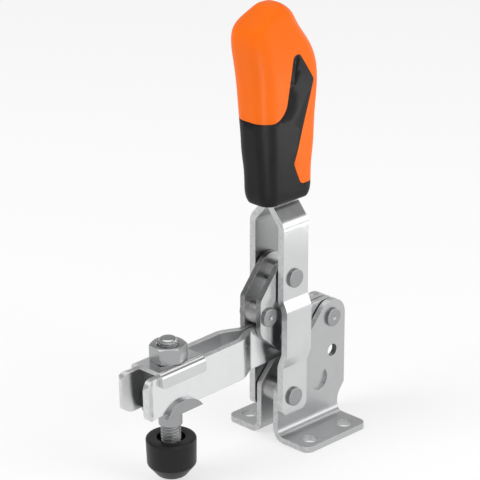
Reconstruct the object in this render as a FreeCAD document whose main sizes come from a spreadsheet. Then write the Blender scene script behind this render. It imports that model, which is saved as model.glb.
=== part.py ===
import FreeCAD, Part
import math
import os

import Sketcher

Vector = FreeCAD.Vector

# The clamp stands on its two flanges. X runs forward along the clamping arm, Y to the
# clamp's left, Z up. The origin is the centre of the four fixing holes, on the underside.
# Lengths are in millimetres and angles in degrees.

SIZES = {
    # base: two bent plates
    "base_gauge": 2.5,
    "base_gap": 6.8,
    "base_bend": 3.0,
    "flange_reach": 22.7,
    "flange_front": 17.5,
    "flange_rear": -17.9,
    "flange_corner": 3.5,
    "fixing_pitch_x": 20.45,
    "fixing_pitch_y": 34.1,
    "fixing_bore": 6.5,
    "web_shoulder": 21.2,
    "web_shoulder_round": 3.0,
    "web_crown_round": 7.5,
    "web_heel": 14.2,
    "relief_z": 6.9,
    "relief_round": 7.0,
    "web_bore": 5.3,
    "web_bore_x": -14.4,
    "web_bore_z": 30.4,
    "lug_x": -6.55,
    "lug_z": 19.8,
    "lug_round": 5.0,
    "lug_tilt": 33.4,
    "lug_depth": 1.2,
    "lug_slit": 0.8,
    # pivots of the toggle linkage, arm down
    "handle_pivot_x": 11.85,
    "handle_pivot_z": 19.55,
    "arm_pivot_x": -14.2,
    "arm_pivot_z": 45.3,
    "crank_length": 51.5,
    "link_length": 25.7,
    # rivets and bushes
    "shank_round": 3.0,
    "head_round": 3.9,
    "head_height": 1.3,
    "head_edge": 0.5,
    "dimple_round": 1.1,
    "dimple_depth": 0.6,
    "flush_head_height": 0.5,
    "flush_head_edge": 0.25,
    "bush_wall": 1.5,
    "spacer_round": 5.0,
    "stop_round": 4.4,
    "running_gap": 0.05,
    "side_gap": 0.1,
    # clamping arm: two bent plates
    "arm_gauge": 2.5,
    "arm_rear_gap": 0.8,
    "arm_slot": 9.0,
    "arm_bend": 3.0,
    "arm_slot_bend": 8.0,
    "arm_pitch": 1.5,
    "arm_top": 7.55,
    "arm_bottom": 9.1,
    "arm_tip_round": 4.0,
    "arm_flare_start": 43.9,
    "arm_flare_end": 54.8,
    "arm_lip_start": 100.6,
    "arm_lip_angle": 20.0,
    "arm_lip_run": 3.25,
    "arm_heel": 12.0,
    "arm_heel_round": 3.0,
    # link: two flat plates
    "link_gauge": 2.5,
    "link_gap": 6.4,
    "link_head_round": 7.35,
    "link_foot_round": 7.2,
    "link_nose": 15.45,
    "link_brow_drop": 8.1,
    "link_brow_round": 3.0,
    "link_chin_rise": 6.3,
    "link_chin_round": 5.0,
    "stop_reach": 36.6,
    # handle: two bent plates
    "handle_gauge": 3.0,
    "handle_gap": 12.6,
    "handle_bulge": 2.2,
    "handle_front": 6.35,
    "handle_rear": 7.65,
    "handle_toe": 7.25,
    "handle_toe_round": 3.0,
    "handle_bend": 3.0,
    "bulge_low": 32.6,
    "bulge_low_end": 40.1,
    "bulge_high": 56.8,
    "bulge_high_end": 63.2,
    "neck_start": 92.1,
    "neck_end": 102.4,
    "tang_gap": 0.5,
    "tang_top": 160.0,
    "tang_round": 3.0,
    # spindle, its washers and nut
    "spindle_station": 86.1,
    "thread_round": 4.0,
    "saddle_gauge": 1.8,
    "saddle_length": 23.0,
    "saddle_skirt": 4.6,
    "saddle_edge": 1.6,
    "saddle_corner": 1.0,
    "saddle_bore": 8.6,
    "fold_gap": 0.05,
    "nut_flats": 13.0,
    "nut_height": 6.6,
    "nut_chamfer": 0.45,
    "nut_turn": 20.0,
    "flange_disc_round": 11.2,
    "flange_disc_gauge": 1.6,
    "flange_flap": 3.6,
    "collar_round": 4.7,
    "collar_length": 7.4,
    "screw_top": 18.35,
    "screw_chamfer": 1.0,
    "screw_head_round": 6.5,
    "screw_head_height": 4.0,
    "cap_round": 10.0,
    "cap_top_round": 10.0,
    "cap_clearance": 5.9,
    "cap_height": 16.2,
    "cap_barrel": 10.4,
    "cap_tip_round": 6.5,
    "cap_recess_round": 5.65,
    "cap_recess_depth": 3.0,
    "cap_sole": 4.0,
    "cap_edge": 0.8,
    # grip: sections from the bottom up
    "grip_wall": 2.5,
    "grip_base_level": 102.7,
    "grip_base_front": 24.4,
    "grip_base_rear": -0.2,
    "grip_base_half": 6.9,
    "grip_base_round": 4.7,
    "grip_foot_level": 105.5,
    "grip_foot_front": 25.5,
    "grip_foot_rear": -1.1,
    "grip_foot_half": 8.0,
    "grip_foot_round": 5.6,
    "grip_sleeve_level": 110.5,
    "grip_sleeve_front": 25.95,
    "grip_sleeve_rear": -1.4,
    "grip_sleeve_half": 8.2,
    "grip_sleeve_round": 5.8,
    "grip_waist_level": 119.5,
    "grip_waist_front": 26.8,
    "grip_waist_rear": -1.9,
    "grip_waist_half": 8.5,
    "grip_waist_round": 6.2,
    "grip_swell_level": 134.0,
    "grip_swell_front": 28.2,
    "grip_swell_rear": -2.75,
    "grip_swell_half": 9.05,
    "grip_swell_round": 6.8,
    "grip_heel_level": 150.0,
    "grip_heel_front": 29.7,
    "grip_heel_rear": -3.8,
    "grip_heel_half": 9.65,
    "grip_heel_round": 7.4,
    "grip_shoulder_level": 160.5,
    "grip_shoulder_front": 31.2,
    "grip_shoulder_rear": -1.95,
    "grip_shoulder_half": 9.9,
    "grip_shoulder_round": 7.5,
    "grip_brow_level": 169.5,
    "grip_brow_front": 32.65,
    "grip_brow_rear": 3.4,
    "grip_brow_half": 9.55,
    "grip_brow_round": 7.2,
    "grip_crown_level": 176.5,
    "grip_crown_front": 30.1,
    "grip_crown_rear": 8.0,
    "grip_crown_half": 8.5,
    "grip_crown_round": 6.6,
    "grip_dome_level": 180.6,
    "grip_dome_front": 24.1,
    "grip_dome_rear": 10.6,
    "grip_dome_half": 6.3,
    "grip_dome_round": 4.9,
    "grip_lid_level": 182.5,
    "grip_lid_front": 21.9,
    "grip_lid_rear": 13.3,
    "grip_lid_half": 4.1,
    "grip_lid_round": 3.0,
    "grip_tip_level": 183.3,
    "grip_tip_front": 19.4,
    "grip_tip_rear": 15.5,
    "grip_tip_half": 2.0,
    "grip_tip_round": 1.3,
    # outline of the grip's dark panel, seen from the side
    "panel_front_level": 137.8,
    "panel_throat_x": 24.5,
    "panel_throat_round": 7.8,
    "panel_peak_x": 11.9,
    "panel_peak_z": 161.0,
    "panel_peak_round": 2.4,
    "panel_back_x": 4.6,
    "panel_back_z": 151.2,
    "panel_back_round": 2.0,
    "panel_waist_x": 9.6,
    "panel_waist_z": 118.6,
    "panel_waist_round": 2.0,
    "panel_foot_x": 6.0,
    "panel_foot_level": 109.2,
    "panel_foot_round": 2.4,
}

# Cutting outlines reach this far past the solid they trim.
MARGIN = 5.0

GRIP_SECTIONS = [
    "base", "foot", "sleeve", "waist", "swell", "heel", "shoulder", "brow", "crown", "dome",
    "lid", "tip"
]
CORE_SECTIONS = GRIP_SECTIONS[:-2]


doc = FreeCAD.newDocument("toggle_clamp")


def fill_sheet():
    """Put every driving size in the spreadsheet, under its own alias."""
    table = doc.addObject("Spreadsheet::Sheet", "Sizes")
    for row, (name, number) in enumerate(SIZES.items(), start=1):
        table.set(f"A{row}", name)
        table.set(f"B{row}", str(number))
        table.setAlias(f"B{row}", name)
    doc.recompute()
    return table


sheet = fill_sheet()


class Size:
    """A size from the sheet, or one worked out from such sizes, with its expression."""

    def __init__(self, value, text):
        self.value = value
        self.text = text

    def __add__(self, other):
        other = as_size(other)
        return Size(self.value + other.value, f"({self.text} + {other.text})")

    def __radd__(self, other):
        return as_size(other) + self

    def __sub__(self, other):
        other = as_size(other)
        return Size(self.value - other.value, f"({self.text} - {other.text})")

    def __rsub__(self, other):
        return as_size(other) - self

    def __mul__(self, other):
        other = as_size(other)
        return Size(self.value * other.value, f"({self.text} * {other.text})")

    def __rmul__(self, other):
        return as_size(other) * self

    def __truediv__(self, other):
        other = as_size(other)
        return Size(self.value / other.value, f"({self.text} / {other.text})")

    def __neg__(self):
        return Size(-self.value, f"(0 - {self.text})")


def as_size(number):
    """Wrap a plain number, and pass a Size through."""
    if isinstance(number, Size):
        return number
    return Size(float(number), repr(float(number)))


def size(name):
    """The named size of the sheet."""
    return Size(float(sheet.get(name)), f"Sizes.{name}")


def cosine(angle):
    return Size(math.cos(math.radians(angle.value)), f"cos({angle.text})")


def sine(angle):
    return Size(math.sin(math.radians(angle.value)), f"sin({angle.text})")


# Stations of an outline, taken anticlockwise: sharp corners, rounds that bulge out and
# rounds that hollow in. The straight runs between them are tangent to the rounds.


def corner(x, y):
    return {"x": as_size(x), "y": as_size(y), "radius": None, "turn": 0}


def bulge(x, y, radius):
    return {"x": as_size(x), "y": as_size(y), "radius": as_size(radius), "turn": 1}


def hollow(x, y, radius):
    return {"x": as_size(x), "y": as_size(y), "radius": as_size(radius), "turn": -1}


def mirrored_x(stations):
    """The same outline on the other side of the vertical axis, still anticlockwise."""
    return [dict(station, x=-station["x"]) for station in reversed(stations)]


def mirrored_y(stations):
    """The same outline on the other side of the horizontal axis, still anticlockwise."""
    return [dict(station, y=-station["y"]) for station in reversed(stations)]


def signed_radius(station):
    if station["radius"] is None:
        return 0.0
    return station["turn"] * station["radius"].value


def straight_run(here, there):
    """Start and end of the straight run that touches two neighbouring stations."""
    across = there["x"].value - here["x"].value
    up = there["y"].value - here["y"].value
    apart = math.hypot(across, up)
    growth = signed_radius(there) - signed_radius(here)
    heading = math.atan2(up, across) - math.asin(growth / apart)
    normal = Vector(-math.sin(heading), math.cos(heading), 0)
    ends = []
    for station in (here, there):
        centre = Vector(station["x"].value, station["y"].value, 0)
        ends.append(centre - normal * signed_radius(station))
    return ends


def bind(sketch, constraint, value):
    """Add a dimension to a sketch and tie it to its expression."""
    index = sketch.addConstraint(constraint)
    sketch.setExpression(f"Constraints[{index}]", value.text)


def place_point(sketch, element, point, station):
    x_rule = Sketcher.Constraint("DistanceX", element, point, station["x"].value)
    bind(sketch, x_rule, station["x"])
    y_rule = Sketcher.Constraint("DistanceY", element, point, station["y"].value)
    bind(sketch, y_rule, station["y"])


def draw_loop(sketch, stations):
    """Draw one closed outline through its stations, fully constrained."""
    count = len(stations)
    runs = []
    for index in range(count):
        runs.append(straight_run(stations[index], stations[(index + 1) % count]))
    lines = []
    for start, end in runs:
        lines.append(sketch.addGeometry(Part.LineSegment(start, end), False))
    for index, station in enumerate(stations):
        before = lines[index - 1]
        after = lines[index]
        if station["radius"] is None:
            sketch.addConstraint(Sketcher.Constraint("Coincident", before, 2, after, 1))
            place_point(sketch, after, 1, station)
            continue
        centre = Vector(station["x"].value, station["y"].value, 0)
        entry = runs[index - 1][1]
        leave = runs[index][0]
        first, last = (entry, leave) if station["turn"] > 0 else (leave, entry)
        circle = Part.Circle(centre, Vector(0, 0, 1), station["radius"].value)
        from_angle = math.atan2(first.y - centre.y, first.x - centre.x)
        to_angle = math.atan2(last.y - centre.y, last.x - centre.x)
        if to_angle <= from_angle:
            to_angle += 2 * math.pi
        arc = sketch.addGeometry(Part.ArcOfCircle(circle, from_angle, to_angle), False)
        arc_in, arc_out = (1, 2) if station["turn"] > 0 else (2, 1)
        sketch.addConstraint(Sketcher.Constraint("Tangent", before, 2, arc, arc_in))
        sketch.addConstraint(Sketcher.Constraint("Tangent", after, 1, arc, arc_out))
        place_point(sketch, arc, 3, station)
        radius_rule = Sketcher.Constraint("Radius", arc, station["radius"].value)
        bind(sketch, radius_rule, station["radius"])


def draw_circle(sketch, x, y, radius):
    """Draw one full circle, fully constrained."""
    station = bulge(x, y, radius)
    centre = Vector(station["x"].value, station["y"].value, 0)
    ring = Part.Circle(centre, Vector(0, 0, 1), station["radius"].value)
    circle = sketch.addGeometry(ring, False)
    place_point(sketch, circle, 3, station)
    radius_rule = Sketcher.Constraint("Radius", circle, station["radius"].value)
    bind(sketch, radius_rule, station["radius"])


def new_body(label):
    body = doc.addObject("PartDesign::Body", label)
    body.Label = label
    return body


def seat_body(body, x, z, tilt=None):
    """Set a body's own origin in the clamp's frame, tilted about Y if asked."""
    body.Placement = FreeCAD.Placement(Vector(0, 0, 0), FreeCAD.Rotation(Vector(0, 1, 0), 1))
    body.setExpression("Placement.Base.x", x.text)
    body.setExpression("Placement.Base.z", z.text)
    body.setExpression("Placement.Rotation.Angle", as_size(tilt if tilt else 0).text)


def new_sketch(body, plane, name, offset=0):
    """Start a sketch on one of the body's origin planes, moved along its normal."""
    sketch = body.newObject("Sketcher::SketchObject", f"{body.Label}_{name}")
    support = [item for item in body.Origin.OriginFeatures if item.Role == f"{plane}_Plane"]
    sketch.AttachmentSupport = [(support[0], "")]
    sketch.MapMode = "FlatFace"
    sketch.setExpression("AttachmentOffset.Base.z", as_size(offset).text)
    return sketch


def pad(body, sketch, length, reverse=False, both_sides=False):
    """Raise a sketch into a solid."""
    feature = body.newObject("PartDesign::Pad", f"{sketch.Label}_pad")
    feature.Profile = sketch
    feature.setExpression("Length", as_size(length).text)
    feature.Reversed = reverse
    if both_sides:
        feature.SideType = "Symmetric"
    sketch.Visibility = False
    doc.recompute()
    return feature


def check_smaller(body, before, feature):
    if body.Shape.Volume >= before - 1e-6:
        raise RuntimeError(f"{feature.Label} removes nothing")


def cut_through(body, sketch):
    """Cut a sketch through the whole body, both ways."""
    before = body.Shape.Volume
    feature = body.newObject("PartDesign::Pocket", f"{sketch.Label}_cut")
    feature.Profile = sketch
    feature.Type = "ThroughAll"
    feature.SideType = "Symmetric"
    doc.recompute()
    check_smaller(body, before, feature)
    return feature


def cut_depth(body, sketch, depth, reverse=False):
    """Cut a sketch to a set depth."""
    before = body.Shape.Volume
    feature = body.newObject("PartDesign::Pocket", f"{sketch.Label}_cut")
    feature.Profile = sketch
    feature.setExpression("Length", as_size(depth).text)
    feature.Reversed = reverse
    doc.recompute()
    check_smaller(body, before, feature)
    return feature


def turn(body, sketch):
    """Turn a half profile about the sketch's upright axis."""
    feature = body.newObject("PartDesign::Revolution", f"{sketch.Label}_turn")
    feature.Profile = sketch
    feature.ReferenceAxis = (sketch, ["V_Axis"])
    feature.Angle = 360
    doc.recompute()
    return feature


def round_edges(body, radius, wanted):
    """Round the edges whose middle point satisfies the test."""
    base = body.Tip
    names = []
    for index, edge in enumerate(base.Shape.Edges, start=1):
        middle = edge.valueAt((edge.FirstParameter + edge.LastParameter) / 2)
        if wanted(edge, middle):
            names.append(f"Edge{index}")
    if not names:
        raise RuntimeError(f"{body.Label} has no edge to round")
    feature = body.newObject("PartDesign::Fillet", f"{body.Label}_round_{len(body.Group)}")
    feature.Base = (base, names)
    feature.setExpression("Radius", as_size(radius).text)
    doc.recompute()
    return feature


def upright(edge):
    """True for a straight edge along Z."""
    along = edge.Vertexes[-1].Point - edge.Vertexes[0].Point
    return abs(along.x) < 1e-6 and abs(along.y) < 1e-6 and abs(along.z) > 1e-6


def crosswise(edge):
    """True for a straight edge along Y."""
    along = edge.Vertexes[-1].Point - edge.Vertexes[0].Point
    return abs(along.x) < 1e-6 and abs(along.z) < 1e-6 and abs(along.y) > 1e-6


def near(first, second):
    return abs(first - second) < 1e-4


def trim_outline(body, stations, low_x, high_x, low_y, high_y, plane="XZ"):
    """Keep only what lies inside the outline, seen square to the plane."""
    sketch = new_sketch(body, plane, "trim")
    frame = [
        corner(low_x - MARGIN, low_y - MARGIN),
        corner(high_x + MARGIN, low_y - MARGIN),
        corner(high_x + MARGIN, high_y + MARGIN),
        corner(low_x - MARGIN, high_y + MARGIN),
    ]
    draw_loop(sketch, frame)
    draw_loop(sketch, stations)
    return cut_through(body, sketch)


def drill(body, plane, name, spots, radius):
    """Drill round holes right through."""
    sketch = new_sketch(body, plane, name)
    for x, y in spots:
        draw_circle(sketch, x, y, radius)
    return cut_through(body, sketch)


def flat_plate(label, side, inner, gauge, stations):
    """A flat plate on one side of the clamp's middle plane; side is 1 left, -1 right."""
    body = new_body(label)
    offset = -(inner + gauge) if side > 0 else inner
    sketch = new_sketch(body, "XZ", "outline", offset)
    draw_loop(sketch, stations)
    pad(body, sketch, gauge)
    return body


# Sizes that several pieces share

base_inner = size("base_gap") / 2
base_outer = base_inner + size("base_gauge")
arm_rear_inner = size("arm_rear_gap") / 2
arm_rear_outer = arm_rear_inner + size("arm_gauge")
arm_front_inner = size("arm_slot") / 2
arm_front_outer = arm_front_inner + size("arm_gauge")
link_inner = size("link_gap") / 2
link_outer = link_inner + size("link_gauge")
handle_inner = size("handle_gap") / 2
handle_outer = handle_inner + size("handle_gauge")
pivot_bore = size("shank_round") + size("running_gap")
bush_round = size("shank_round") + size("bush_wall")

handle_x = size("handle_pivot_x")
handle_z = size("handle_pivot_z")
arm_x = size("arm_pivot_x")
arm_z = size("arm_pivot_z")
pitch = size("arm_pitch")

# The crank, the link and their three pivots stand in one upright line, arm down.
crank_z = handle_z + size("crank_length")
link_z = crank_z - size("link_length")

# Places along and above the arm, measured from its pivot in the arm's own pitched frame
link_run = handle_x - arm_x
link_rise = link_z - arm_z
link_along = link_run * cosine(pitch) - link_rise * sine(pitch)
link_above = link_run * sine(pitch) + link_rise * cosine(pitch)
stop_along = size("stop_reach")
stop_above = size("arm_top") + size("stop_round") + size("running_gap")
stop_x = arm_x + stop_along * cosine(pitch) + stop_above * sine(pitch)
stop_z = arm_z - stop_along * sine(pitch) + stop_above * cosine(pitch)


def build_base(label, side):
    """One bent base plate: web, outward flange, holes and the pressed half-moon lug."""
    body = new_body(label)
    gauge = size("base_gauge")
    bend = size("base_bend")
    crown = arm_z + size("web_crown_round")
    web_rear = arm_x - size("web_crown_round")
    front = size("flange_front")
    relief = size("relief_round")
    section = [
        bulge(base_outer + bend, gauge + bend, bend + gauge),
        corner(size("flange_reach"), 0),
        corner(size("flange_reach"), gauge),
        hollow(base_outer + bend, gauge + bend, bend),
        corner(base_outer, crown),
        corner(base_inner, crown),
    ]
    if side < 0:
        section = mirrored_x(section)
    sketch = new_sketch(body, "YZ", "section", web_rear)
    draw_loop(sketch, section)
    pad(body, sketch, front - web_rear)
    shoulder = size("web_shoulder_round")
    outline = [
        corner(size("flange_rear"), 0),
        corner(front, 0),
        bulge(front - shoulder, size("web_shoulder"), shoulder),
        bulge(arm_x, arm_z, size("web_crown_round")),
        corner(web_rear, size("web_heel")),
        hollow(size("flange_rear") - relief, size("relief_z"), relief),
    ]
    trim_outline(body, outline, web_rear, front, as_size(0), crown)
    reach = size("flange_reach").value
    ends = (size("flange_front").value, size("flange_rear").value)

    def flange_corner(edge, middle):
        at_end = near(middle.x, ends[0]) or near(middle.x, ends[1])
        return upright(edge) and near(abs(middle.y), reach) and at_end

    round_edges(body, size("flange_corner"), flange_corner)
    spot_x = size("fixing_pitch_x") / 2
    spot_y = side * size("fixing_pitch_y") / 2
    drill(body, "XY", "fixing", [(spot_x, spot_y), (-spot_x, spot_y)], size("fixing_bore") / 2)
    drill(body, "XZ", "pivots", [(handle_x, handle_z), (arm_x, arm_z)], size("shank_round"))
    web_hole = [(size("web_bore_x"), size("web_bore_z"))]
    drill(body, "XZ", "web_hole", web_hole, size("web_bore") / 2)
    press_lug(body, side)
    return body


def draw_half_moon(sketch, x, y):
    """Draw a half round of the lug: its straight side faces up and forward."""
    tilt = size("lug_tilt")
    radius = size("lug_round")
    centre = Vector(x.value, y.value, 0)
    step = Vector((cosine(tilt) * radius).value, -(sine(tilt) * radius).value, 0)
    chord = sketch.addGeometry(Part.LineSegment(centre + step, centre - step), False)
    from_angle = math.atan2(-step.y, -step.x)
    circle = Part.Circle(centre, Vector(0, 0, 1), radius.value)
    arc = sketch.addGeometry(Part.ArcOfCircle(circle, from_angle, from_angle + math.pi), False)
    sketch.addConstraint(Sketcher.Constraint("Coincident", chord, 2, arc, 1))
    sketch.addConstraint(Sketcher.Constraint("Coincident", chord, 1, arc, 2))
    place_point(sketch, arc, 3, corner(x, y))
    bind(sketch, Sketcher.Constraint("Radius", arc, radius.value), radius)
    sketch.addConstraint(Sketcher.Constraint("PointOnObject", arc, 3, chord))
    slope = math.radians(180 - tilt.value)
    slope_rule = Sketcher.Constraint("Angle", chord, slope)
    bind(sketch, slope_rule, Size(slope, f"(180 - {tilt.text}) * 1 deg"))


def press_lug(body, side):
    """The half-moon pressed inward from the web, with the slit along its straight side."""
    depth = size("lug_depth")
    tilt = size("lug_tilt")
    slit = size("lug_slit")
    radius = size("lug_round")
    x = size("lug_x")
    z = size("lug_z")
    inner_offset = -base_inner if side > 0 else base_inner
    lug = new_sketch(body, "XZ", "lug", inner_offset)
    draw_half_moon(lug, x, z)
    pad(body, lug, depth, reverse=side < 0)
    outer_offset = -base_outer if side > 0 else base_outer
    recess = new_sketch(body, "XZ", "recess", outer_offset)
    draw_half_moon(recess, x, z)
    cut_depth(body, recess, depth, reverse=side > 0)
    slit_sketch = new_sketch(body, "XZ", "slit")
    forward = corner(cosine(tilt) * radius, -sine(tilt) * radius)
    lift = corner(sine(tilt) * slit, cosine(tilt) * slit)
    slot = [
        corner(x - forward["x"], z - forward["y"]),
        corner(x + forward["x"], z + forward["y"]),
        corner(x + forward["x"] + lift["x"], z + forward["y"] + lift["y"]),
        corner(x - forward["x"] + lift["x"], z - forward["y"] + lift["y"]),
    ]
    draw_loop(slit_sketch, slot)
    cut_through(body, slit_sketch)


def build_rivet(label, x, z, reach, head_height, edge, dimpled=False):
    """A rivet across the clamp: shank and two heads, with a struck centre if dimpled."""
    body = new_body(label)
    seat_body(body, x, z)
    shank = size("shank_round")
    head = size("head_round")
    tip = reach + head_height
    top = [
        corner(shank, reach),
        corner(head, reach),
        bulge(head - edge, tip - edge, edge),
    ]
    if dimpled:
        top.append(corner(size("dimple_round"), tip))
        top.append(corner(0, tip - size("dimple_depth")))
    else:
        top.append(corner(0, tip))
    sketch = new_sketch(body, "XY", "profile")
    draw_loop(sketch, mirrored_y(top) + top)
    turn(body, sketch)
    return body


def build_side_rivet(label, side, x, z, inner, reach, head_height):
    """A short shouldered rivet held in one plate."""
    body = new_body(label)
    seat_body(body, x, z)
    shank = size("shank_round")
    head = size("head_round")
    edge = size("head_edge")
    tip = reach + head_height
    profile = [
        corner(0, inner),
        corner(shank, inner),
        corner(shank, reach),
        corner(head, reach),
        bulge(head - edge, tip - edge, edge),
        corner(0, tip),
    ]
    if side < 0:
        profile = mirrored_y(profile)
    sketch = new_sketch(body, "XY", "profile")
    draw_loop(sketch, profile)
    turn(body, sketch)
    return body


def build_bush(label, x, z, outer, bore, half_length):
    """A plain round bush across the clamp's middle."""
    body = new_body(label)
    seat_body(body, x, z)
    sketch = new_sketch(body, "XZ", "ring")
    draw_circle(sketch, 0, 0, outer)
    draw_circle(sketch, 0, 0, bore)
    pad(body, sketch, half_length * 2, both_sides=True)
    return body


def build_arm(label, side):
    """One arm plate: flat at the rear, flared to form the spindle slot, lipped out at the tip."""
    body = new_body(label)
    seat_body(body, arm_x, arm_z, pitch)
    gauge = size("arm_gauge")
    bend = size("arm_bend")
    top = size("arm_top")
    bottom = -size("arm_bottom")
    lip_angle = size("arm_lip_angle")
    lip_run = size("arm_lip_run")
    turn_in = bend + gauge
    tip = size("arm_lip_start") + sine(lip_angle) * turn_in + cosine(lip_angle) * lip_run
    tip_inner = (arm_front_inner + turn_in - cosine(lip_angle) * turn_in
                 + sine(lip_angle) * lip_run)
    tip_back = tip - sine(lip_angle) * gauge
    tip_outer = tip_inner + cosine(lip_angle) * gauge
    flare = (size("arm_flare_start"), arm_rear_outer + bend)
    slot_bend = size("arm_slot_bend")
    slot = (size("arm_flare_end"), arm_front_inner - slot_bend)
    lip = (size("arm_lip_start"), arm_front_outer + bend)
    strip = [
        corner(-top, arm_rear_inner),
        bulge(flare[0], flare[1], bend + gauge),
        hollow(slot[0], slot[1], slot_bend),
        bulge(lip[0], lip[1], bend + gauge),
        corner(tip, tip_inner),
        corner(tip_back, tip_outer),
        hollow(lip[0], lip[1], bend),
        bulge(slot[0], slot[1], slot_bend + gauge),
        hollow(flare[0], flare[1], bend),
        corner(-top, arm_rear_outer),
    ]
    if side < 0:
        strip = mirrored_y(strip)
    sketch = new_sketch(body, "XY", "strip", bottom)
    draw_loop(sketch, strip)
    pad(body, sketch, top - bottom)
    tip_round = size("arm_tip_round")
    heel_round = size("arm_heel_round")
    outline = [
        bulge(0, 0, top),
        bulge(size("arm_heel"), bottom + heel_round, heel_round),
        bulge(tip - tip_round, bottom + tip_round, tip_round),
        bulge(tip - tip_round, top - tip_round, tip_round),
    ]
    trim_outline(body, outline, -top, tip, bottom, top)
    spots = [(as_size(0), as_size(0)), (link_along, link_above)]
    drill(body, "XZ", "pivots", spots, bush_round)
    return body


def build_link(label, side):
    """One flat link plate, with the forward nose that carries the stop."""
    nose = handle_x + size("link_nose")
    brow = size("link_brow_round")
    chin = size("link_chin_round")
    outline = [
        bulge(handle_x, link_z, size("link_foot_round")),
        bulge(nose - chin, link_z + size("link_chin_rise"), chin),
        bulge(nose - brow, crank_z - size("link_brow_drop"), brow),
        bulge(handle_x, crank_z, size("link_head_round")),
    ]
    body = flat_plate(label, side, link_inner, size("link_gauge"), outline)
    drill(body, "XZ", "rivets", [(handle_x, link_z), (stop_x, stop_z)], size("shank_round"))
    drill(body, "XZ", "bush_seat", [(handle_x, crank_z)], bush_round)
    return body


def handle_strip():
    """Edge-on outline of a handle plate: toe, outward bulge, neck and tang."""
    gauge = size("handle_gauge")
    bend = size("handle_bend")
    bulge_outer = handle_outer + size("handle_bulge")
    tang_inner = size("tang_gap") / 2
    tang_outer = tang_inner + gauge
    low = size("bulge_low")
    low_end = size("bulge_low_end")
    high = size("bulge_high")
    high_end = size("bulge_high_end")
    neck = size("neck_start")
    neck_end = size("neck_end")
    toe = handle_z - size("handle_toe")
    wide = bulge_outer - bend - gauge
    return [
        corner(handle_outer, toe),
        hollow(handle_outer + bend, low, bend),
        bulge(wide, low_end, bend + gauge),
        bulge(wide, high, bend + gauge),
        hollow(handle_outer + bend, high_end, bend),
        bulge(handle_outer - bend - gauge, neck, bend + gauge),
        hollow(tang_outer + bend, neck_end, bend),
        corner(tang_outer, size("tang_top")),
        corner(tang_inner, size("tang_top")),
        bulge(tang_outer + bend, neck_end, bend + gauge),
        hollow(handle_outer - bend - gauge, neck, bend),
        bulge(handle_outer + bend, high_end, bend + gauge),
        hollow(wide, high, bend),
        hollow(wide, low_end, bend),
        bulge(handle_outer + bend, low, bend + gauge),
        corner(handle_inner, toe),
    ]


def build_handle(label, side):
    """One handle plate, from its toe below the base pivot to its tang in the grip."""
    body = new_body(label)
    rear = handle_x - size("handle_rear")
    width = size("handle_rear") + size("handle_front")
    strip = handle_strip()
    if side < 0:
        strip = mirrored_x(strip)
    sketch = new_sketch(body, "YZ", "strip", rear)
    draw_loop(sketch, strip)
    pad(body, sketch, width)
    toe = (handle_z - size("handle_toe")).value
    top = size("tang_top").value

    def toe_corner(edge, middle):
        return crosswise(edge) and near(middle.z, toe)

    def tang_corner(edge, middle):
        return crosswise(edge) and near(middle.z, top)

    round_edges(body, size("handle_toe_round"), toe_corner)
    round_edges(body, size("tang_round"), tang_corner)
    drill(body, "XZ", "pivot", [(handle_x, handle_z)], pivot_bore)
    drill(body, "XZ", "rivet", [(handle_x, crank_z)], size("shank_round"))
    return body


def spindle_body(label):
    """A body whose upright axis is the spindle's, square to the arm."""
    body = new_body(label)
    along = size("spindle_station")
    x = arm_x + along * cosine(pitch)
    z = arm_z - along * sine(pitch)
    seat_body(body, x, z, pitch)
    return body


def build_saddle(label):
    """The folded washer that straddles the arm's top edges."""
    body = spindle_body(label)
    gauge = size("saddle_gauge")
    inner = arm_front_outer + size("fold_gap")
    outer = inner + gauge
    seat = size("arm_top")
    top = seat + gauge
    edge = size("saddle_edge")
    hem = seat - size("saddle_skirt")
    section = [
        corner(inner, hem),
        corner(outer, hem),
        bulge(outer - edge, top - edge, edge),
        bulge(edge - outer, top - edge, edge),
        corner(-outer, hem),
        corner(-inner, hem),
        corner(-inner, seat),
        corner(inner, seat),
    ]
    half = size("saddle_length") / 2
    sketch = new_sketch(body, "YZ", "section", -half)
    draw_loop(sketch, section)
    pad(body, sketch, half * 2)
    low = hem.value

    def hem_corner(edge, middle):
        return crosswise(edge) and near(middle.z, low)

    round_edges(body, size("saddle_corner"), hem_corner)
    drill(body, "XY", "bore", [(as_size(0), as_size(0))], size("saddle_bore") / 2)
    return body


def build_flanged_washer(label):
    """The lower washer: a round disc folded up beside the arm, with a threaded collar."""
    body = spindle_body(label)
    gauge = size("flange_disc_gauge")
    radius = size("flange_disc_round")
    seat = -size("arm_bottom")
    under = seat - gauge
    inner = arm_front_outer + size("fold_gap")
    outer = inner + gauge
    disc = new_sketch(body, "XY", "disc", under)
    draw_circle(disc, 0, 0, radius)
    pad(body, disc, gauge)
    sides = new_sketch(body, "XY", "sides")
    reach = radius + MARGIN
    strip = [corner(-reach, outer), corner(reach, outer), corner(reach, reach), corner(-reach, reach)]
    draw_loop(sides, strip)
    draw_loop(sides, mirrored_y(strip))
    cut_through(body, sides)
    for name, offset in (("left_flap", -outer), ("right_flap", inner)):
        flap = new_sketch(body, "XZ", name, offset)
        draw_flap(flap, under, seat + size("flange_flap"), radius)
        pad(body, flap, gauge)
    collar = new_sketch(body, "XY", "collar", under)
    draw_circle(collar, 0, 0, size("collar_round"))
    pad(body, collar, size("collar_length"), reverse=True)
    thread_bore = size("thread_round") + size("running_gap")
    drill(body, "XY", "bore", [(as_size(0), as_size(0))], thread_bore)
    return body


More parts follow.
